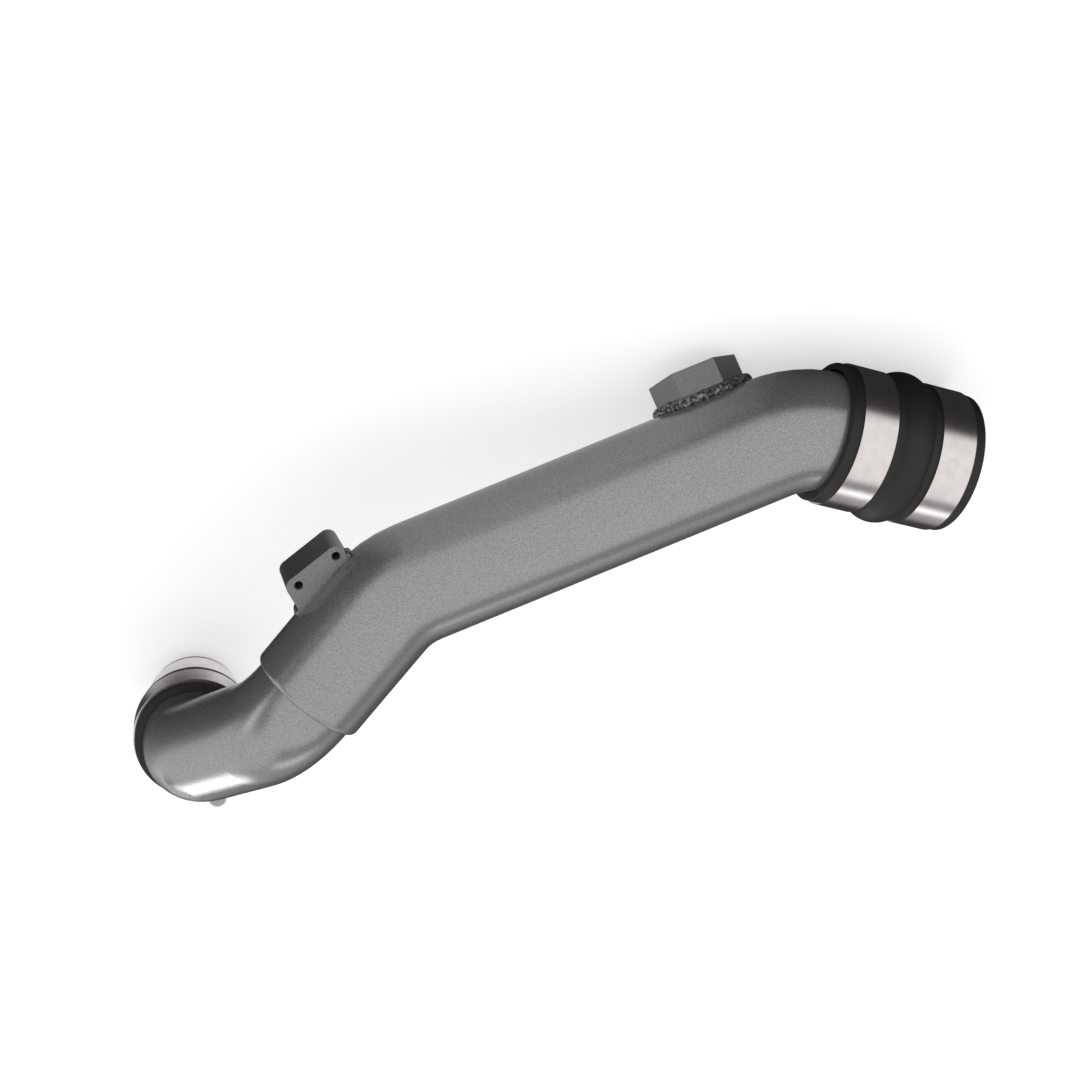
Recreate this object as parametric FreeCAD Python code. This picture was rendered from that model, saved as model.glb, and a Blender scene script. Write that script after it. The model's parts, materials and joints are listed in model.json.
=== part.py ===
import FreeCAD, Part
import math
import os

# Intercooler pipe: a necked two-piece tube with two welded bosses, a hump hose, a reducer hose
# and four T-bolt clamps. Millimetres. +Z is up, +X runs along the long straight towards the hump
# hose in plan, and the origin is the bottom centre of the whole assembly's box as it lies at rest.

# Main tube: its route is a bender's table of straights, bends and spins between bend planes
main_od = 63.5
tube_wall = 1.65
main_bend_radius = 50.8
bend_1_angle = 37.55
bend_2_angle = 28.35
bend_2_spin = 12.25
long_straight = 194.7
joint_straight = 59.1

# Elbow tube: a size smaller, slipped into the main tube's rolled-in shoulder
size_step = 3.175
slip_clearance = 0.1
elbow_insertion = 14.0
elbow_bend_radius = 45.7
bend_3_angle = 49.3
bend_3_spin = -101.95
elbow_straight = 51.6
bend_4_angle = 40.1
bend_4_spin = 15.45
elbow_tail = 3.55

# Rolled beads that keep the hoses on
bead_height = 1.2
bead_half_width = 1.6
bead_setback = 3.2
bead_lead = 1.0

# Silicone hoses
hose_length = 76.2
hose_wall = 4.6
hose_fit = 0.15
hose_insertion = 29.5
hump_overlap = 5.0
lip_round = 1.0
mouth_flare = 0.9
mouth_flare_length = 7.0
hump_rise = 3.6
hump_half_width = 9.5
hump_blend = 2.0
reducer_bore = 44.45
reducer_cuff = 27.0
reducer_taper = 19.0

# T-bolt clamps
band_width = 19.05
band_thickness = 0.9
band_fit = 0.05
band_to_rim = 6.1
loop_spacing = 23.0
trunnion_radius = 4.5
trunnion_fit = 0.1
fold_back_angle = 15.0
bridge_thickness = 0.7
bridge_width = 17.0
bridge_lap_angle = 12.0
bridge_end_clearance_angle = 1.0
bolt_radius = 3.0
bolt_hole_clearance = 0.2
bolt_beyond_nut = 2.0
slot_clearance = 0.5
nut_flats = 10.0
nut_height = 5.0
nut_collar_height = 2.6
nut_collar_radius = 4.6
nut_seat_depth = 0.9
nut_seat_chamfer = 0.9
nut_top_chamfer = 0.5
hump_hardware_spin = {"inner": -56.0, "outer": -56.0}
reducer_hardware_spin = {"large": -94.0, "small": -94.0}

# Sensor boss: a long hexagon with a probe bore and two tapped holes
boss_along = 22.5
boss_spin = -142.35
boss_length = 48.1
boss_flat = 23.2
boss_half_width = 11.9
boss_height = 16.3
probe_bore = 18.0
sensor_screw_spacing = 32.0
sensor_screw_drill = 5.0
sensor_screw_depth = 11.0
sensor_weld_radius = 3.4
sensor_weld_lift = 1.2

# Bracket boss: a block on the side of the tube with two tapped holes in its front
bracket_along = 10.65
bracket_spin = 169.95
bracket_twist = 12.5
bracket_lean = 9.5
bracket_width = 35.5
bracket_depth = 26.6
bracket_front = 1.15
bracket_height = 14.1
bracket_round = 5.0
bracket_screw_spacing = 24.0
bracket_screw_drill = 4.2
bracket_screw_depth = 14.0
bracket_screw_below_top = 5.4
countersink = 0.4
bracket_weld_radius = 2.6
bracket_weld_lift = 0.7
bracket_weld_setback = 3.2
weld_knuckle = 1.06

# Attitude of the hump end of the tube when the assembly lies at rest
rest_yaw = 54.384
rest_pitch = -22.686
rest_roll = 91.039

# Sizes that follow
elbow_od = main_od - 2 * size_step
main_radius = main_od / 2
elbow_radius = elbow_od / 2
neck_radius = elbow_radius + slip_clearance
shoulder = main_radius - neck_radius
hump_bore = main_radius + hose_fit
elbow_cuff_bore = elbow_radius + hose_fit
small_bore = reducer_bore / 2
loop_radius = trunnion_radius + trunnion_fit
bead_end_length = bead_setback + bead_half_width + bead_lead

Vec = FreeCAD.Vector
Placement = FreeCAD.Placement
Rotation = FreeCAD.Rotation
origin = Vec(0, 0, 0)
along = Vec(0, 0, 1)


# Moves along a tube whose own axis is local Z and whose next bend turns towards local X
def step(length):
    return Placement(Vec(0, 0, length), Rotation())


def spin(angle):
    return Placement(origin, Rotation(along, angle))


def turn(radius, angle):
    swing = math.radians(angle)
    reach = Vec(radius * (1 - math.cos(swing)), 0, radius * math.sin(swing))
    return Placement(reach, Rotation(Vec(0, 1, 0), angle))


def walk(place, route):
    for kind, *sizes in route:
        place = place.multiply({"run": step, "spin": spin, "bend": turn}[kind](*sizes))
    return place


def at(place, shape):
    return shape.transformed(place.toMatrix(), True)


def sweep(place, route, section):
    """A section in local XY carried along the runs and bends of a route."""
    lengths = []
    for kind, *sizes in route:
        if kind == "run":
            lengths.append(at(place, section.extrude(Vec(0, 0, sizes[0]))))
        if kind == "bend":
            lengths.append(at(place, section.revolve(Vec(sizes[0], 0, 0), Vec(0, 1, 0), sizes[1])))
        place = walk(place, [(kind, *sizes)])
    return lengths


def join(solids):
    return solids[0].multiFuse(solids[1:]).removeSplitter()


def disc(radius, hole=0.0):
    rim = Part.Face(Part.Wire(Part.makeCircle(radius)))
    return rim.cut(Part.Face(Part.Wire(Part.makeCircle(hole)))) if hole else rim


def turned(start, *steps):
    """A solid of revolution about Z. A step is an (r, z) point, or a pair of them for an arc."""
    edges = []
    here = Vec(start[0], 0, start[1])
    for item in steps + (start,):
        points = [Vec(r, 0, z) for r, z in (item if isinstance(item[0], tuple) else (item,))]
        if len(points) == 2:
            edges.append(Part.Arc(here, points[0], points[1]).toShape())
        elif here.distanceToPoint(points[0]) > 1e-6:
            edges.append(Part.makeLine(here, points[0]))
        here = points[-1]
    return Part.Face(Part.Wire(edges)).revolve(origin, along, 360)


def rod(start, end, radius):
    return Part.makeCylinder(radius, start.distanceToPoint(end), start, end.sub(start))


# Tubes
def bead_end(radius):
    """The first few millimetres of a tube: a rolled bead just behind its cut end."""
    inner = radius - tube_wall
    low, mid, high = (bead_setback + k * bead_half_width for k in (-1, 0, 1))
    return turned((radius, 0), (radius, low), ((radius + bead_height, mid), (radius, high)),
                  (radius, bead_end_length), (inner, bead_end_length), (inner, high),
                  ((inner + bead_height, mid), (inner, low)), (inner, 0))


def necked_end():
    """The main tube's end rolled in by a quarter round to the elbow's size."""
    inner = shoulder - tube_wall
    lean = math.sqrt(0.5)
    return turned((main_radius, 0),
                  ((neck_radius + shoulder * lean, shoulder * lean), (neck_radius, shoulder)),
                  (neck_radius, inner),
                  ((neck_radius + inner * lean, inner * lean), (neck_radius + inner, 0)))


main_start = Placement(origin, Rotation(rest_yaw, rest_pitch, rest_roll))
main_route = [("run", hose_insertion - hump_overlap), ("bend", main_bend_radius, bend_1_angle),
              ("run", long_straight), ("spin", bend_2_spin),
              ("bend", main_bend_radius, bend_2_angle), ("run", joint_straight)]
joint = walk(main_start, main_route)
long_start = walk(main_start, main_route[:2])
bend_2_end = walk(main_start, main_route[:5])

elbow_start = joint.multiply(step(-elbow_insertion))
elbow_route = [("run", elbow_insertion), ("spin", bend_3_spin),
               ("bend", elbow_bend_radius, bend_3_angle), ("run", elbow_straight),
               ("spin", bend_4_spin), ("bend", elbow_bend_radius, bend_4_angle),
               ("run", elbow_tail + hose_insertion)]
elbow_end = walk(elbow_start, elbow_route)


def shortened(route, first=0.0, last=0.0):
    lengths = [("run", route[0][1] - first)] + route[1:]
    lengths[-1] = ("run", lengths[-1][1] - last)
    return lengths


def main_pipe():
    wall = disc(main_radius, main_radius - tube_wall)
    lengths = sweep(main_start.multiply(step(bead_end_length)),
                    shortened(main_route, bead_end_length, shoulder), wall)
    lengths += [at(main_start, bead_end(main_radius)),
                at(joint.multiply(step(-shoulder)), necked_end())]
    return join(lengths).cut(at(boss_place, probe_hole()))


def elbow_pipe():
    wall = disc(elbow_radius, elbow_radius - tube_wall)
    lengths = sweep(elbow_start, shortened(elbow_route, 0, bead_end_length), wall)
    return join(lengths + [at(elbow_end.multiply(spin_over), bead_end(elbow_radius))])


def main_envelope():
    """The main tube filled solid, which the bosses are coped to."""
    return join(sweep(main_start, main_route, disc(main_radius)))


# Faces the other way along a tube, for what is measured from its far end
spin_over = Placement(origin, Rotation(Vec(1, 0, 0), 180))


# Hoses, each with its free mouth at local zero and its tube entering from the top
def bulge(radius, middle, blend, rising=True):
    """The three arcs of the hump: a blend, the crest and a blend, tangent to each other."""
    reach = (hump_half_width ** 2 + hump_rise ** 2) / (2 * hump_rise)
    crest = reach - blend
    swing = math.asin(hump_half_width / reach)
    side = -1 if rising else 1
    foot_z = middle + side * hump_half_width
    crest_r = radius + hump_rise - crest

    def on_blend(foot, sign, angle):
        return (radius + blend - blend * math.cos(angle), foot + sign * blend * math.sin(angle))

    far_z = middle - side * hump_half_width
    shoulder_r = crest_r + crest * math.cos(swing)
    return [(radius, foot_z),
            (on_blend(foot_z, -side, swing / 2), (shoulder_r, middle + side * crest * math.sin(swing))),
            ((radius + hump_rise, middle), (shoulder_r, middle - side * crest * math.sin(swing))),
            (on_blend(far_z, side, swing / 2), (radius, far_z))]


def taper(small, large, start, end):
    """Two equal arcs that lead from one cuff to the other, level with each at its end."""
    rise = large - small
    length = abs(end - start)
    radius = (length ** 2 + rise ** 2) / (4 * rise)
    half_swing = math.asin(length / 2 / radius) / 2
    off = radius * (1 - math.cos(half_swing))
    reach = math.copysign(radius * math.sin(half_swing), end - start)
    middle = ((small + large) / 2, (start + end) / 2)
    low = (small + off, start + reach)
    high = (large - off, end - reach)
    return low, middle, high


def bead_seat(bore):
    """The groove that the tube's bead presses into the bore, from the rim inwards."""
    middle = hose_length - hose_insertion + bead_setback
    half = bead_half_width + hose_fit
    return [(bore, middle + half), ((bore + bead_height, middle), (bore, middle - half))]


def rounded_lip(radius, z, inwards):
    """A quarter round from the hose's end face to its outside, or the other way."""
    lean = lip_round * (1 - math.sqrt(0.5))
    side = math.copysign(1, inwards)
    face_point = (radius - lip_round, z)
    wall_point = (radius, z + side * lip_round)
    corner = (radius - lean, z + side * lean)
    return [face_point, (corner, wall_point)] if side > 0 else [wall_point, (corner, face_point)]


def hump_hose():
    outside = hump_bore + hose_wall
    middle = hose_length / 2
    return turned((hump_bore, 0), *rounded_lip(outside, 0, 1),
                  *bulge(outside, middle, hump_blend),
                  *rounded_lip(outside, hose_length, -1),
                  (hump_bore + mouth_flare, hose_length),
                  (hump_bore, hose_length - mouth_flare_length), *bead_seat(hump_bore),
                  *bulge(hump_bore, middle, hump_blend + hose_wall, rising=False))


def reducer_hose():
    small_out, large_out = small_bore + hose_wall, elbow_cuff_bore + hose_wall
    taper_start, taper_end = reducer_cuff, reducer_cuff + reducer_taper
    low, middle, high = taper(small_out, large_out, taper_start, taper_end)
    low_in, middle_in, high_in = taper(small_bore, elbow_cuff_bore, taper_start, taper_end)
    return turned((small_bore, 0), *rounded_lip(small_out, 0, 1), (small_out, taper_start),
                  (low, middle), (high, (large_out, taper_end)),
                  *rounded_lip(large_out, hose_length, -1),
                  (elbow_cuff_bore, hose_length), *bead_seat(elbow_cuff_bore),
                  (elbow_cuff_bore, taper_end), (high_in, middle_in),
                  (low_in, (small_bore, taper_start)))


# Clamps, each round local Z with its T-bolt over local X
def loop_place(hose_radius):
    """How far the two loops' centres stand across and out from the hose's axis, and their angle."""
    centre = hose_radius + band_fit + band_thickness + loop_radius
    across = loop_spacing / 2
    return across, math.sqrt(centre ** 2 - across ** 2), math.degrees(math.asin(across / centre))


def sector(inner, outer, half_width, first, last):
    """A ring's stretch from one angle to another, counted from local X."""
    ring = disc(outer, inner).extrude(Vec(0, 0, 2 * half_width))
    ring.translate(Vec(0, 0, -half_width))
    reach = 3 * outer
    angles = [first + k * (last - first) / 4 for k in range(5)]
    rim = [Vec(reach * math.cos(math.radians(a)), reach * math.sin(math.radians(a)), 0) for a in angles]
    wedge = Part.Face(Part.makePolygon([origin] + rim + [origin])).extrude(Vec(0, 0, 4 * half_width))
    wedge.translate(Vec(0, 0, -2 * half_width))
    return ring.common(wedge) if last - first < 180 else ring.cut(wedge)


def slab(x, y, z):
    """A box between pairs of limits."""
    return Part.makeBox(x[1] - x[0], y[1] - y[0], z[1] - z[0], Vec(x[0], y[0], z[0]))


def clamp_band(hose_radius):
    """A strip round the hose whose ends fold back over the trunnions, slotted for the bolt."""
    inner = hose_radius + band_fit
    outer = inner + band_thickness
    across, out, angle = loop_place(hose_radius)
    half = band_width / 2
    strip = disc(outer, inner).extrude(Vec(0, 0, band_width))
    strip.translate(Vec(0, 0, -half))
    reach = 3 * out
    gap = Part.makePolygon([origin, Vec(reach, -3 * across, 0), Vec(reach, 3 * across, 0), origin])
    gap = Part.Face(gap).extrude(Vec(0, 0, 2 * band_width))
    gap.translate(Vec(0, 0, -band_width))
    pieces = [strip.cut(gap)]
    slot = bolt_radius + slot_clearance
    wide = nut_flats / 2 / math.cos(math.radians(30)) + slot_clearance
    clear = loop_radius + 2 * band_thickness
    for side in (-1, 1):
        loop = disc(loop_radius + band_thickness, loop_radius).extrude(Vec(0, 0, band_width))
        loop.translate(Vec(out, side * across, -half))
        inward = sorted((0.0, side * across))
        loop = loop.cut(slab((out - slot, out + slot), inward, (-slot, slot)))
        if side > 0:
            high = out - nut_flats / 2 - slot_clearance
            loop = loop.cut(slab((high, out + clear), (across, across + clear), (-wide, wide)))
        pieces.append(loop)
        ends = sorted((side * angle, side * (angle + fold_back_angle)))
        lap = sector(outer, outer + band_thickness, half, *ends)
        hole = rod(Vec(out, side * across, -half), Vec(out, side * across, half), loop_radius)
        pieces.append(lap.cut(hole))
    return join(pieces)


def clamp_bridge(hose_radius):
    """The tongue that closes the gap between the loops, pressed into the hose."""
    span = loop_place(hose_radius)[2] + bridge_lap_angle
    return sector(hose_radius - bridge_thickness, hose_radius, bridge_width / 2, -span, span)


def bridge_pocket(hose_radius):
    """The dent that the tongue presses into the hose."""
    span = loop_place(hose_radius)[2] + bridge_lap_angle + bridge_end_clearance_angle
    return sector(hose_radius - bridge_thickness - band_fit, hose_radius + bridge_thickness,
                  bridge_width / 2 + band_fit, -span, span)


def clamp_t_bolt(hose_radius):
    """A cross bar in the first loop with the threaded shank out through the second."""
    across, out, angle = loop_place(hose_radius)
    half = band_width / 2
    bar = rod(Vec(out, -across, -half), Vec(out, -across, half), trunnion_radius)
    tip = across + trunnion_radius - nut_seat_depth + nut_height + nut_collar_height + bolt_beyond_nut
    shank = rod(Vec(out, -across, 0), Vec(out, tip, 0), bolt_radius)
    return join([bar, shank])


def clamp_trunnion(hose_radius):
    """The cross pin of the second loop, drilled for the bolt and faced for the nut."""
    across, out, angle = loop_place(hose_radius)
    half = band_width / 2
    pin = rod(Vec(out, across, -half), Vec(out, across, half), trunnion_radius)
    hole = rod(Vec(out, 0, 0), Vec(out, 2 * across, 0), bolt_radius + bolt_hole_clearance)
    seat = across + trunnion_radius - nut_seat_depth
    wide = nut_flats / 2 / math.cos(math.radians(30)) + slot_clearance
    face = slab((out - 2 * loop_radius, out + 2 * loop_radius), (seat, seat + loop_radius), (-wide, wide))
    return pin.cut(hole).cut(face)


def clamp_lock_nut(hose_radius):
    """A hexagon nut with a round collar for its nylon ring."""
    across, out, angle = loop_place(hose_radius)
    corner = nut_flats / 2 / math.cos(math.radians(30))
    ring = [Vec(corner * math.sin(math.radians(60 * k)), 0, corner * math.cos(math.radians(60 * k)))
            for k in range(7)]
    hexagon = Part.Face(Part.makePolygon(ring)).extrude(Vec(0, nut_height, 0))
    chamfer = Part.makeCone(corner - nut_seat_chamfer, corner + nut_height,
                            nut_height + nut_seat_chamfer, origin, Vec(0, 1, 0))
    top = Part.makeCone(corner + nut_height, corner - nut_top_chamfer, nut_height + nut_top_chamfer,
                        Vec(0, -nut_top_chamfer, 0), Vec(0, 1, 0))
    collar = rod(Vec(0, nut_height, 0), Vec(0, nut_height + nut_collar_height, 0), nut_collar_radius)
    nut = join([hexagon.common(chamfer).common(top), collar])
    nut = nut.cut(rod(Vec(0, -1, 0), Vec(0, 2 * nut_height, 0), bolt_radius + band_fit))
    nut.translate(Vec(out, across + trunnion_radius - nut_seat_depth, 0))
    return nut


clamp_pieces = {"band": clamp_band, "bridge": clamp_bridge, "t_bolt": clamp_t_bolt,
                "trunnion": clamp_trunnion, "lock_nut": clamp_lock_nut}


# Bosses, each with local X straight out from the tube and local Z along it
boss_place = long_start.multiply(step(boss_along)).multiply(spin(boss_spin))
bracket_place = (bend_2_end.multiply(step(bracket_along)).multiply(spin(bracket_spin))
                 .multiply(Placement(origin, Rotation(Vec(0, 1, 0), bracket_twist))))


def tapped_hole(mouth, direction, drill, depth):
    """A drilled blind hole with a cone at its bottom and a small countersink."""
    inwards = Vec(direction).negative()
    hole = Part.makeCylinder(drill / 2, depth, mouth, inwards)
    tip = Part.makeCone(drill / 2, 0, drill / 3, mouth + inwards * depth, inwards)
    sink = Part.makeCone(drill / 2 + countersink, drill / 2, countersink, mouth, inwards)
    return join([hole, tip, sink])


def probe_hole():
    return rod(origin, Vec(main_radius + 2 * boss_height, 0, 0), probe_bore / 2)


def sensor_boss(tube):
    top = main_radius + boss_height
    corners = [(0, boss_length / 2), (boss_half_width, boss_flat / 2), (boss_half_width, -boss_flat / 2),
               (0, -boss_length / 2), (-boss_half_width, -boss_flat / 2), (-boss_half_width, boss_flat / 2)]
    outline = [Vec(main_radius / 2, y, z) for y, z in corners]
    block = Part.Face(Part.makePolygon(outline + outline[:1])).extrude(Vec(top - main_radius / 2, 0, 0))
    block = at(boss_place, block.cut(probe_hole())).cut(tube)
    for side in (-1, 1):
        hole = tapped_hole(Vec(top, 0, side * sensor_screw_spacing / 2), Vec(1, 0, 0),
                           sensor_screw_drill, sensor_screw_depth)
        block = block.cut(at(boss_place, hole))
    return block


def bracket_side(x):
    """How far the leaning sides of the bracket block have moved along the tube at a height."""
    return (main_radius + bracket_height - x) * math.tan(math.radians(bracket_lean))


def bracket_boss(tube):
    top = main_radius + bracket_height
    foot = main_radius / 3
    front, back = -bracket_front, bracket_depth - bracket_front
    half = bracket_width / 2
    profile = [Vec(x, front, bracket_side(x) + side * half)
               for x, side in ((top, -1), (top, 1), (foot, 1), (foot, -1))]
    block = Part.Face(Part.makePolygon(profile + profile[:1])).extrude(Vec(0, back - front, 0))
    rounds = [e for e in block.Edges if abs(e.CenterOfMass.x - top) < 1e-6
              and abs(abs(e.CenterOfMass.z) - half) < 1e-6]
    block = at(bracket_place, block.makeFillet(bracket_round, rounds)).cut(tube)
    for side in (-1, 1):
        mouth = Vec(top - bracket_screw_below_top, front, side * bracket_screw_spacing / 2)
        hole = tapped_hole(mouth, Vec(0, -1, 0), bracket_screw_drill, bracket_screw_depth)
        block = block.cut(at(bracket_place, hole))
    return block


def foot_on_tube(place, tube, y, z, side_at=None):
    """Where a block's side at local y and z, upright or leaning, meets the tube."""
    high, low = (place.multVec(Vec(x, y, z + (side_at(x) if side_at else 0)))
                 for x in (2 * main_radius, 0))
    inside = Part.makeLine(high, low).common(tube)
    return min((v.Point for v in inside.Vertexes), key=high.distanceToPoint)


def weld_bead(place, tube, boss, corners, radius, lift, side_at=None, stretches=2):
    """A round bead laid along a block's foot and a little up its side, from corner to corner."""
    feet = []
    for (y0, z0), (y1, z1) in zip(corners, corners[1:]):
        for k in range(stretches):
            share = k / stretches
            feet.append(foot_on_tube(place, tube, y0 + share * (y1 - y0), z0 + share * (z1 - z0), side_at))
    feet.append(foot_on_tube(place, tube, *corners[-1], side_at))
    closed = feet[0].distanceToPoint(feet[-1]) < radius
    raised = place.Rotation.multVec(Vec(lift, 0, 0))
    feet = [p.add(raised) for p in feet]
    balls = [Part.makeSphere(radius * weld_knuckle, p) for p in (feet[:-1] if closed else feet)]
    rods = [rod(p, q, radius) for p, q in zip(feet, feet[1:])]
    return join(balls + rods).cut(tube).cut(boss)


def sensor_weld(tube, boss):
    corners = [(0, boss_length / 2), (boss_half_width, boss_flat / 2), (boss_half_width, -boss_flat / 2),
               (0, -boss_length / 2), (-boss_half_width, -boss_flat / 2), (-boss_half_width, boss_flat / 2),
               (0, boss_length / 2)]
    bead = weld_bead(boss_place, tube, boss, corners, sensor_weld_radius, sensor_weld_lift)
    return bead.cut(at(boss_place, probe_hole()))


def bracket_weld(tube, boss):
    half = bracket_width / 2
    front, back = bracket_weld_setback - bracket_front, bracket_depth - bracket_front
    corners = [(front, half), (back, half), (back, -half), (front, -half)]
    return weld_bead(bracket_place, tube, boss, corners, bracket_weld_radius, bracket_weld_lift,
                     bracket_side)


# Assembly
hump_place = main_start.multiply(step(hose_insertion - hose_length))
reducer_place = elbow_end.multiply(step(hose_length - hose_insertion)).multiply(spin_over)
rim_band = hose_length - band_to_rim - band_width / 2
mouth_band = band_to_rim + band_width / 2
clamps = {
    "hump_inner_clamp": (hump_place, rim_band, hump_hardware_spin["inner"], hump_bore + hose_wall),
    "hump_outer_clamp": (hump_place, mouth_band, hump_hardware_spin["outer"], hump_bore + hose_wall),
    "reducer_large_clamp": (reducer_place, rim_band, reducer_hardware_spin["large"],
                            elbow_cuff_bore + hose_wall),
    "reducer_small_clamp": (reducer_place, mouth_band, reducer_hardware_spin["small"],
                            small_bore + hose_wall),
}

def assembly():
    tube = main_envelope()
    nodes = {"main_pipe": main_pipe(), "elbow_pipe": elbow_pipe(),
             "hump_hose": at(hump_place, hump_hose()),
             "reducer_hose": at(reducer_place, reducer_hose())}
    nodes["sensor_boss"] = sensor_boss(tube)
    nodes["sensor_boss_weld"] = sensor_weld(tube, nodes["sensor_boss"])
    nodes["bracket_boss"] = bracket_boss(tube)
    nodes["bracket_boss_weld"] = bracket_weld(tube, nodes["bracket_boss"])
    for clamp, (hose_place, distance, angle, radius) in clamps.items():
        place = hose_place.multiply(step(distance)).multiply(spin(angle))
        hose = "hump_hose" if clamp.startswith("hump") else "reducer_hose"
        nodes[hose] = nodes[hose].cut(at(place, bridge_pocket(radius)))
        for piece, make in clamp_pieces.items():
            nodes[clamp + "_" + piece] = at(place, make(radius))
    return nodes


def stand_on_floor(nodes):
    """Moves the assembly so that the origin is the bottom centre of its box."""
    box = Part.makeCompound(list(nodes.values())).BoundBox
    shift = Vec(-(box.XMin + box.XMax) / 2, -(box.YMin + box.YMax) / 2, -box.ZMin)
    for shape in nodes.values():
        shape.translate(shift)
    return shift


nodes = assembly()
shift = stand_on_floor(nodes)
os.makedirs("parts", exist_ok=True)
for name, shape in nodes.items():
    shape.exportStep("parts/" + name + ".step")
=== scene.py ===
import json
import math

import bmesh
import bpy
from mathutils import Matrix, Vector, noise


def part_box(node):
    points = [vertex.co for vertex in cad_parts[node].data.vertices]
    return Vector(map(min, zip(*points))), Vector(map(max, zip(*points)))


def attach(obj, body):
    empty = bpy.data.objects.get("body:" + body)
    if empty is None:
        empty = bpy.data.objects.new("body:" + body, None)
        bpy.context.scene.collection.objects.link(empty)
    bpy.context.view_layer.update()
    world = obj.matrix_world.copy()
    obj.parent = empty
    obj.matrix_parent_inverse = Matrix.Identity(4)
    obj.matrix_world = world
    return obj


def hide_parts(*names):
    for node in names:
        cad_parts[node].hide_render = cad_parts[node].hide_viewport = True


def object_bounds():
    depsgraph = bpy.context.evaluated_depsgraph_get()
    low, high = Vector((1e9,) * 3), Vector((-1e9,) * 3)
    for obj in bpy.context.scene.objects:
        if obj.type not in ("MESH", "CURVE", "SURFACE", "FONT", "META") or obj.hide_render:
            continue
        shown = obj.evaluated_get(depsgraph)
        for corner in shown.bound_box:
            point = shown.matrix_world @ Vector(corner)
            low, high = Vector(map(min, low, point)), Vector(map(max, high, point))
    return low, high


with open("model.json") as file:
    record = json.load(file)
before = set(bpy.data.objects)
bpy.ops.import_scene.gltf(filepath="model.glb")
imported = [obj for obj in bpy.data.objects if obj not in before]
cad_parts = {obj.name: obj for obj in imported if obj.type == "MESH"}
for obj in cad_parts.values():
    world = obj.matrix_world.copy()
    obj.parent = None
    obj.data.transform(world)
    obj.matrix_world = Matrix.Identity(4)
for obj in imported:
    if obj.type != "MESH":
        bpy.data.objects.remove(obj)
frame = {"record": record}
solid_low, solid_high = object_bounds()
mounts = {mount["name"]: mount for mount in frame["record"]["mounts"]}


# Main tube and elbow: mandrel-bent aluminium under a grey powder coat with fine metallic flake.
# The coat is sprayed and baked after welding, so it runs over both bosses without a break.
class Value:
    """A socket that arithmetic adds Math nodes to."""

    def __init__(self, shader, socket):
        self.shader = shader
        self.socket = socket

    def math(self, operation, *others):
        return self.shader.node("ShaderNodeMath", {"operation": operation}, self, *others)

    def __add__(self, other):
        return self.math("ADD", other)

    def __mul__(self, other):
        return self.math("MULTIPLY", other)

    def __truediv__(self, other):
        return self.math("DIVIDE", other)

    def __rsub__(self, other):
        return self.shader.node("ShaderNodeMath", {"operation": "SUBTRACT"}, other, self)

    __radd__ = __add__
    __rmul__ = __mul__

    def sine(self):
        return self.math("SINE")

    def between(self, low, high):
        """Runs smoothly from 0 at low to 1 at high."""
        return self.shader.node("ShaderNodeMapRange", {"interpolation_type": "SMOOTHSTEP"},
                                self, low, high, 0.0, 1.0)

    def window(self, low, high, edge):
        """1 from low to high and 0 outside, over a soft edge."""
        return self.between(low - edge, low + edge) * (1 - self.between(high - edge, high + edge))

    def vector(self, operation, other, output=0):
        return self.shader.node("ShaderNodeVectorMath", {"operation": operation}, self, other,
                                output=output)

    def dot(self, other):
        return self.vector("DOT_PRODUCT", tuple(other), output="Value")


class Finish:
    """A material, or the surroundings, whose nodes are added one call at a time."""

    def __init__(self, name, owner=None):
        self.material = owner or bpy.data.materials.new(name)
        self.material.use_nodes = True
        self.tree = self.material.node_tree
        self.tree.nodes.clear()

    def node(self, kind, settings, *inputs, output=0, **named):
        made = self.tree.nodes.new(kind)
        for key, value in settings.items():
            setattr(made, key, value)
        by_name = [(key.replace("_", " "), value) for key, value in named.items()]
        for key, value in list(enumerate(inputs)) + by_name:
            if isinstance(value, Value):
                self.tree.links.new(value.socket, made.inputs[key])
            else:
                made.inputs[key].default_value = value
        return Value(self, made.outputs[output])

    def place(self):
        return self.node("ShaderNodeTexCoord", {}, output="Object")

    def noise(self, per_metre, detail=2.0, where=None):
        return self.node("ShaderNodeTexNoise", {}, where or self.place(), Scale=per_metre,
                         Detail=detail, output="Fac")

    def blend(self, share, dark, light):
        """A grey that runs from one level to another."""
        made = self.tree.nodes.new("ShaderNodeMix")
        made.data_type = "RGBA"
        self.tree.links.new(share.socket, made.inputs[0])
        made.inputs[6].default_value = dark
        made.inputs[7].default_value = light
        return Value(self, made.outputs[2])

    def bump(self, height, strength, distance):
        return self.node("ShaderNodeBump", {}, Strength=strength, Distance=distance, Height=height,
                         output="Normal")

    def finish(self, shader, kind="Material"):
        out = self.tree.nodes.new("ShaderNodeOutput" + kind)
        self.tree.links.new(shader.socket, out.inputs["Surface"])
        return self.material

    def surface(self, **inputs):
        return self.finish(self.node("ShaderNodeBsdfPrincipled", {}, **inputs))


def grey(level):
    return (level, level, level, 1.0)


flake_per_metre = 1900
flake_share = 0.85
flake_depth = 0.00003
drift_per_metre = 45


def powder_coat(name, dark, light, roughness):
    """Fine bright flake in a coat whose level drifts a little along the tube."""
    coat = Finish(name)
    flake = coat.noise(flake_per_metre, 1.0)
    drift = coat.noise(drift_per_metre, 2.0)
    sparkle = flake.between(0.34, 0.68) * flake_share + drift * (1 - flake_share)
    return coat.surface(Base_Color=coat.blend(sparkle, grey(dark), grey(light)),
                        Metallic=0.6, Roughness=roughness + sparkle * 0.05,
                        Normal=coat.bump(flake, 0.3, flake_depth))


def paint(material, *nodes):
    for node in nodes:
        piece = bpy.data.objects[node]
        piece.data.materials.clear()
        piece.data.materials.append(material)


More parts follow.
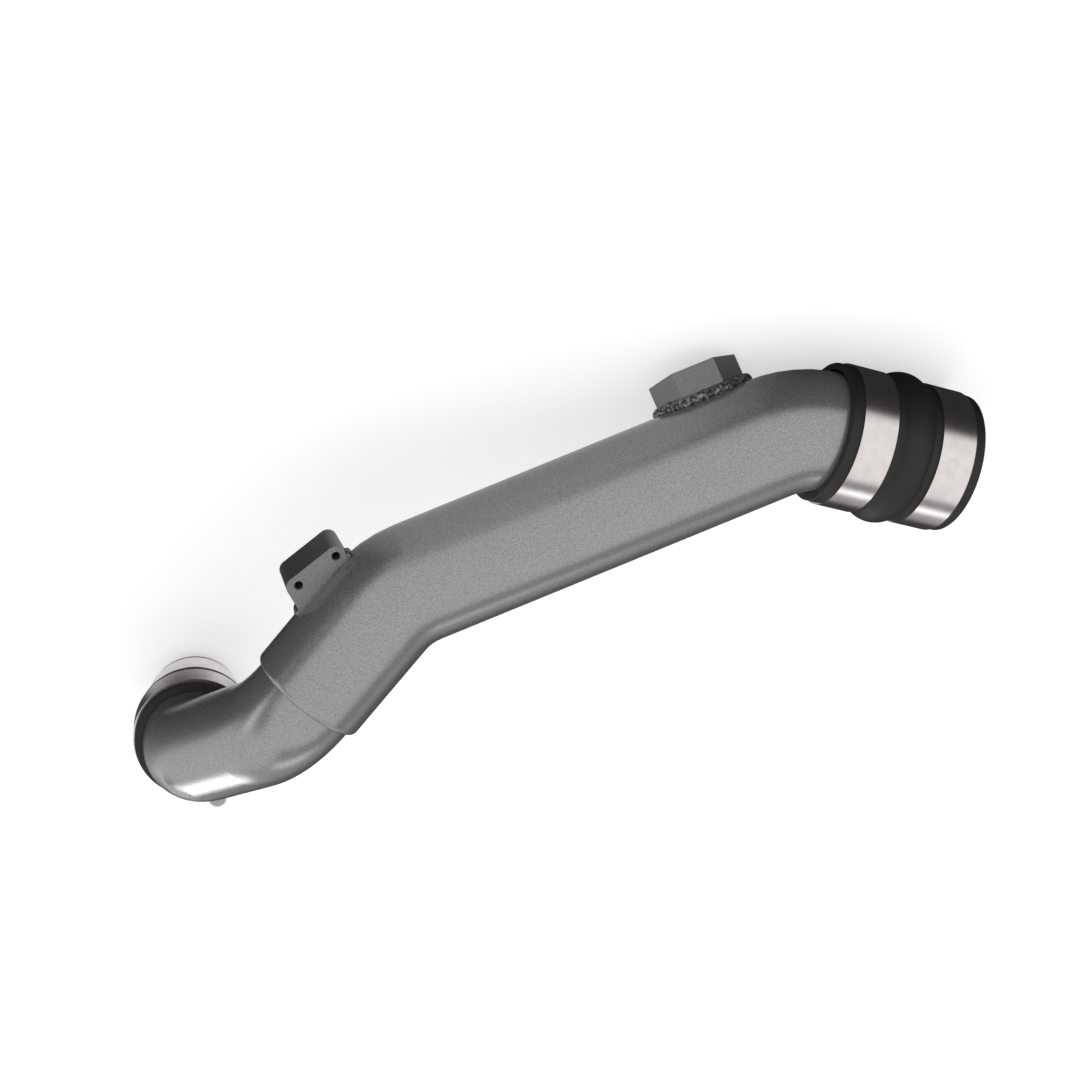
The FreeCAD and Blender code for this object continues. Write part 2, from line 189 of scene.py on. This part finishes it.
tube_coat = powder_coat("tube_powder_coat", 0.25, 0.41, 0.2)
paint(tube_coat, "main_pipe", "elbow_pipe")

# Sensor boss and bracket boss: milled aluminium blocks, welded on and coated with the tube.
# The coat lies flatter on the milled faces, and is set a darker grey than on the tube.
boss_coat = powder_coat("boss_powder_coat", 0.16, 0.26, 0.34)
paint(boss_coat, "sensor_boss", "bracket_boss")

# Weld beads: hand-laid aluminium fillets round the sensor boss and on three sides of the bracket
# boss, rippled across their run. Their colour is painted shade: far darker than the tube's coat,
# near black in the hollows of the lumps and lighter on their crests.
ripple_rise = 0.00038
ripple_length = 0.0021
ripple_sink = 0.7
weld_grain = 0.0016
weld_grain_share = 0.55
weld_merge = 1e-6
lumps_per_metre = 650
lump_depth = 0.0004


def rippled(node, centre, axis):
    """A copy of a bead's solid with scalloped ripples laid across its run round the boss."""
    sheet = bmesh.new()
    sheet.from_mesh(bpy.data.objects[node].data)
    bmesh.ops.remove_doubles(sheet, verts=sheet.verts, dist=weld_merge)
    long_edges = [edge for edge in sheet.edges if edge.calc_length() > ripple_length / 3]
    bmesh.ops.subdivide_edges(sheet, edges=long_edges, cuts=1, use_grid_fill=True)
    bmesh.ops.triangulate(sheet, faces=sheet.faces)
    sheet.normal_update()
    across = axis.orthogonal().normalized()
    side = axis.cross(across)
    mean_reach = sum((vert.co - centre).length for vert in sheet.verts) / len(sheet.verts)
    ripples = round(2 * math.pi * mean_reach / ripple_length)
    for vert in sheet.verts:
        off = vert.co - centre
        turn = math.atan2(off.dot(side), off.dot(across))
        scallop = abs(math.sin(turn * ripples / 2))
        rough = noise.noise(vert.co / weld_grain)
        vert.co += vert.normal * (ripple_rise * (scallop - ripple_sink + weld_grain_share * rough))
    mesh = bpy.data.meshes.new(node + "_rippled")
    sheet.to_mesh(mesh)
    sheet.free()
    for face in mesh.polygons:
        face.use_smooth = True
    bead = bpy.data.objects.new(node + "_rippled", mesh)
    bpy.context.collection.objects.link(bead)
    mesh.materials.append(weld_material)
    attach(bead, "root")
    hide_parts(node)


weld_coat = Finish("weld_powder_coat")
lumps_and_painted_shade = weld_coat.noise(lumps_per_metre, 3.0)
# painted shade: the bead's colour follows its lumps, near black where they sink
weld_material = weld_coat.surface(
    Base_Color=weld_coat.blend(lumps_and_painted_shade.between(0.42, 0.66), grey(0.045), grey(0.30)),
    Metallic=0.5, Roughness=0.36, Normal=weld_coat.bump(lumps_and_painted_shade, 0.6, lump_depth))
sensor_axis = Vector(mounts["sensor_face"]["axis"])
bracket_axis = Vector(mounts["bracket_face"]["axis"])
for node, bead_axis in (("sensor_boss_weld", sensor_axis),
                        ("bracket_boss_weld", bracket_axis.orthogonal())):
    bead_low, bead_high = (Vector(corner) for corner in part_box(node))
    rippled(node, (bead_low + bead_high) / 2, bead_axis)

# Hump hose and reducer hose: silicone over wound fabric plies, matt and nearly black.
# The cut ends show the plies as fine rings, with the cords' ends as dots between them.
hose_length = 0.0762
hose_wall = 0.0046
hump_rim_bore = 0.0319
reducer_rim_bore = 0.028725
face_depth = 0.00025
ply_pitch = 0.00092
cord_count = 150
cord_ring_inner = 0.22
cord_ring_outer = 0.40
cord_edge = 0.0001
weave_per_metre = 1500
weave_depth = 0.00012
mottle_per_metre = 110


def round_axis(finish, mount_name):
    """How far each point lies along a mouth's axis, out from it and round it."""
    mount = mounts[mount_name]
    axis = Vector(mount["axis"])
    across = axis.orthogonal().normalized()
    side = axis.cross(across)
    off = finish.place().vector("SUBTRACT", tuple(mount["pos_m"]))
    x, y = off.dot(across), off.dot(side)
    return off.dot(axis), (x * x + y * y).math("SQRT"), y.math("ARCTAN2", x)


def silicone(name, mount_name, rim_bore):
    """Mottled silicone, with the plies and cords on both cut ends. Its mount is at the mouth's middle."""
    hose = Finish(name)
    along, reach, turn = round_axis(hose, mount_name)
    mouth = mounts[mount_name]["dims"]["length_mm"] / 1000 / 2
    rim = mouth - hose_length
    cut_end = along.between(mouth - face_depth, mouth) + (1 - along.between(rim, rim + face_depth))
    plies = (reach * (2 * math.pi / ply_pitch)).sine()
    cord_ring = reach.window(rim_bore + cord_ring_inner * hose_wall,
                             rim_bore + cord_ring_outer * hose_wall, cord_edge)
    cords = cord_ring * (turn * cord_count).sine().between(0.1, 0.6)
    weave = hose.noise(weave_per_metre, 2.0)
    mottle = hose.noise(mottle_per_metre, 2.0)
    shade = mottle * 0.5 + cut_end * (plies * 0.10 + cords * 1.6 + 0.25)
    height = weave * 0.35 + cut_end * (plies * 0.5 + cords)
    return hose.surface(Base_Color=hose.blend(shade, grey(0.012), grey(0.030)),
                        Roughness=0.52, Specular_IOR_Level=0.35,
                        Normal=hose.bump(height, 0.5, weave_depth))


paint(silicone("hump_silicone", "hump_hose_mouth", hump_rim_bore), "hump_hose")
paint(silicone("reducer_silicone", "reducer_hose_mouth", reducer_rim_bore), "reducer_hose")

# Clamp bands and their bridges: bright stainless strip, rolled lengthwise, so that it shows
# fine lines round the hose. The bolt, pin and nut of each clamp are plated steel, set a dark grey.
lines_per_metre = 9000
lines_per_radian = 3
layers_per_metre = 900
line_depth = 0.00002
clouds_per_metre = 160
strip_dark = (0.70, 0.655, 0.64, 1.0)
strip_light = (0.76, 0.72, 0.71, 1.0)
wear_per_metre = 900
wear_depth = 0.00003
thread_pitch = 0.001
thread_rise = 0.0002
thread_bite = 0.00005
thread_turns = 13
thread_run_in = 1.2
thread_steps = 20
thread_merge = 1e-7
shank_radius = 0.003
tip_depth = 1e-5


def stainless(name, mount_name):
    strip = Finish(name)
    along, reach, turn = round_axis(strip, mount_name)
    rolled = strip.node("ShaderNodeCombineXYZ", {}, along * lines_per_metre, turn * lines_per_radian,
                        reach * layers_per_metre)
    lines = strip.noise(1.0, 2.0, rolled)
    clouds = strip.noise(clouds_per_metre, 2.0)
    return strip.surface(Base_Color=strip.blend(clouds.between(0.3, 0.7), strip_dark, strip_light),
                         Metallic=1.0, Roughness=0.17 + lines * 0.10,
                         Normal=strip.bump(lines, 0.12, line_depth))


hardware = Finish("plated_hardware")
wear = hardware.noise(wear_per_metre, 3.0)
hardware_material = hardware.surface(Base_Color=hardware.blend(wear, grey(0.30), grey(0.42)),
                                     Metallic=1.0, Roughness=0.22 + wear * 0.12,
                                     Normal=hardware.bump(wear, 0.1, wear_depth))


def thread(clamp):
    """The rolled thread of a T-bolt, from the trunnion's face to the tip, as one screw surface."""
    nut_low, nut_high = (Vector(corner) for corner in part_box(clamp + "_lock_nut"))
    pin_low, pin_high = (Vector(corner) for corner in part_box(clamp + "_trunnion"))
    nut = (nut_low + nut_high) / 2
    axis = (nut - (pin_low + pin_high) / 2).normalized()
    bolt = bpy.data.objects[clamp + "_t_bolt"].data
    ends = [vert.co.dot(axis) for vert in bolt.vertices]
    rim = [vert.co for vert in bolt.vertices if vert.co.dot(axis) > max(ends) - tip_depth]
    tip = sum(rim, Vector()) / len(rim)
    out = axis.orthogonal().normalized()
    profile = bmesh.new()
    foot = tip - axis * (thread_turns + thread_run_in) * thread_pitch
    points = [profile.verts.new(foot + axis * (k - 1) * thread_pitch / 2
                                + out * (shank_radius - thread_bite + (thread_rise if k == 1 else 0)))
              for k in range(3)]
    edges = [profile.edges.new(pair) for pair in zip(points, points[1:])]
    steps = thread_turns * thread_steps
    bmesh.ops.spin(profile, geom=points + edges, cent=tip, axis=axis, angle=thread_turns * 2 * math.pi,
                   steps=steps, dvec=axis * (thread_turns * thread_pitch / steps), use_merge=False,
                   use_duplicate=False)
    bmesh.ops.remove_doubles(profile, verts=profile.verts, dist=thread_merge)
    bmesh.ops.recalc_face_normals(profile, faces=profile.faces)
    mesh = bpy.data.meshes.new(clamp + "_thread")
    profile.to_mesh(mesh)
    profile.free()
    for face in mesh.polygons:
        face.use_smooth = True
    mesh.materials.append(hardware_material)
    piece = bpy.data.objects.new(clamp + "_thread", mesh)
    bpy.context.collection.objects.link(piece)
    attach(piece, "root")


for hose, clamps in (("hump", ("hump_inner_clamp", "hump_outer_clamp")),
                     ("reducer", ("reducer_large_clamp", "reducer_small_clamp"))):
    strip_material = stainless(hose + "_stainless_strip", hose + "_hose_mouth")
    for clamp in clamps:
        paint(strip_material, clamp + "_band", clamp + "_bridge")
        paint(hardware_material, clamp + "_t_bolt", clamp + "_trunnion", clamp + "_lock_nut")
        thread(clamp)

# Floor: a seamless white sheet at the pipe's lowest point, which the camera sees with the pipe's
# soft shadow. The pipe mirrors it dark, with grey cards in front and under the long straight, a
# white one under the reducer, and on the right the light of the side softbox and of the lamp.
floor_reach = 6.0
paper_colour = grey(0.7)
paper_glow = 0.5
unlit_colour = grey(0.05)
mirrored_floor = 0.03
# A window is a low side, a high side and a soft edge, and a fade a start and an end, in metres.
# A spread is a window on the ratio of the two floor directions, which opens away from the pipe.
front_spread, front_fade = (-0.30, 0.22, 0.12), (-0.5, -0.25)
under_x_window, under_y_window, grey_card_level = (-0.13, 0.10, 0.05), (-0.5, 0.03, 0.05), 0.58
side_slope, side_fade, side_x_fade = 1.5, (0.26, 1.05), (0.15, 0.35)
side_spread, side_card_level = (-0.35, 0.55, 0.15), 0.92
lamp_x_window, lamp_y_window, lamp_card_level = (0.42, 0.85, 0.12), (0.34, 0.62, 0.10), 1.2
white_x_window, white_y_window, white_card_level = (0.175, 0.26, 0.015), (0.03, 0.15, 0.02), 0.8
floor_mesh = bpy.data.meshes.new("floor")
floor_sheet = bmesh.new()
bmesh.ops.create_grid(floor_sheet, x_segments=1, y_segments=1, size=floor_reach,
                      matrix=Matrix.Translation((0, 0, solid_low[2])))
floor_sheet.to_mesh(floor_mesh)
floor_sheet.free()
floor = bpy.data.objects.new("floor", floor_mesh)
bpy.context.collection.objects.link(floor)
paper = Finish("white_paper")
split = paper.tree.nodes.new("ShaderNodeSeparateXYZ")
paper.tree.links.new(paper.place().socket, split.inputs[0])
floor_x, floor_y = Value(paper, split.outputs["X"]), Value(paper, split.outputs["Y"])
front = (floor_x / floor_y).window(*front_spread) * (1 - floor_y.between(*front_fade))
grey_card = (floor_x.window(*under_x_window) * floor_y.window(*under_y_window)).math("MAXIMUM", front)
side_card = (floor_x + floor_y * side_slope).between(*side_fade) * floor_x.between(*side_x_fade)
side_card = side_card * (floor_y / floor_x).window(*side_spread)
lamp_card = floor_x.window(*lamp_x_window) * floor_y.window(*lamp_y_window)
white_card = floor_x.window(*white_x_window) * floor_y.window(*white_y_window)
mirrored = (grey_card * grey_card_level + white_card * white_card_level + side_card * side_card_level
            + lamp_card * lamp_card_level + mirrored_floor)
seen = paper.node("ShaderNodeAddShader", {},
                  paper.node("ShaderNodeBsdfDiffuse", {}, Color=paper_colour),
                  paper.node("ShaderNodeEmission", {}, Color=grey(1.0), Strength=paper_glow))
cards = paper.node("ShaderNodeEmission", {}, Color=mirrored, Strength=1.0)
unseen = paper.node("ShaderNodeBsdfDiffuse", {}, Color=unlit_colour)
glossy = paper.node("ShaderNodeLightPath", {}, output="Is Glossy Ray")
camera_ray = paper.node("ShaderNodeLightPath", {}, output="Is Camera Ray")
paper.finish(paper.node("ShaderNodeMixShader", {}, camera_ray,
                        paper.node("ShaderNodeMixShader", {}, glossy, unseen, cards), seen))
floor_mesh.materials.append(paper.material)

# Studio: a wide arch of softboxes over the front and top, a gap, a slanting bright strip low
# behind, a card low in front, a softbox all down the right side, and a small lamp at its far
# edge. All of it is painted on the surroundings.
strip_normal = Vector((0.4645, 0.4663, -0.7523))
lamp_heading = Vector((0.64, 0.77, 0.04)).normalized()
room_level = 0.05
horizon_fade = (-0.06, 0.20)
# The arch, the strip and the rear glow lie across strip_normal, at angles in degrees.
arch_end, arch_drop, arch_level = (-27, -17), 0.8, 0.95
strip_band, strip_west_level, strip_east_gain, strip_east_fade = (-4, 6, 5), 0.25, 1.5, (-0.22, 0.05)
rear_rise, rear_level = (-2, 10), 0.15
lamp_spread, lamp_level = (13, 5), 4.5
# The front card and the side softbox are set by how far east and north a direction points.
card_east, card_north, card_level = (-0.25, 0.28, 0.12), (-0.9, -0.6), 0.6
softbox_east, softbox_north, softbox_level = (0.25, 0.45), (-0.45, -0.15), 0.95
softbox_drop, softbox_drop_north = 0.43, (0.50, 0.66)


def sines(*degrees):
    return [math.sin(math.radians(angle)) for angle in degrees]


world = bpy.data.worlds.new("studio")
bpy.context.scene.world = world
studio = Finish("studio", owner=world)
heading = studio.node("ShaderNodeTexCoord", {}, output="Generated")
slant = heading.dot(strip_normal)
height = heading.dot((0, 0, 1))
east, north = heading.dot((1, 0, 0)), heading.dot((0, 1, 0))
arch = 1 - arch_drop * slant.between(*sines(*arch_end))
strip = slant.window(*sines(*strip_band))
strip = strip * (strip_west_level + strip_east_gain * east.between(*strip_east_fade))
rear = slant.between(*sines(*rear_rise)) * rear_level
front_card = east.window(*card_east) * (1 - north.between(*card_north)) * card_level
raised = (arch * arch_level + strip + rear) * height.between(*horizon_fade)
lamp_edge, lamp_core = (math.cos(math.radians(angle)) for angle in lamp_spread)
lamp = heading.dot(lamp_heading).between(lamp_edge, lamp_core) * lamp_level
softbox = softbox_level - softbox_drop * north.between(*softbox_drop_north) + lamp
side = east.between(*softbox_east) * north.between(*softbox_north)
level = raised.math("MAXIMUM", front_card) * (1 - side) + side * softbox + room_level
from_camera = studio.node("ShaderNodeLightPath", {}, output="Is Camera Ray")
shown = level * (1 - from_camera) + from_camera
studio.finish(studio.node("ShaderNodeBackground", {}, Color=shown, Strength=1.0), "World")

# Camera: as in the photograph, looking down on the pipe and turned over, with a 30 degree lens.
camera_azimuth, camera_elevation, camera_roll = -10.413, 42.961, 174.178
camera_place = Vector((-0.15357, -0.80302, 0.77867))
camera_data = bpy.data.cameras.new("camera")
camera_data.sensor_width = 36.0
camera_data.lens = 66.953
camera = bpy.data.objects.new("camera", camera_data)
bpy.context.collection.objects.link(camera)
camera.matrix_world = (Matrix.Translation(camera_place)
                       @ Matrix.Rotation(math.radians(camera_azimuth), 4, "Z")
                       @ Matrix.Rotation(math.radians(90 - camera_elevation), 4, "X")
                       @ Matrix.Rotation(math.radians(camera_roll), 4, "Z"))
bpy.context.scene.camera = camera
bpy.context.scene.view_settings.view_transform = "Standard"
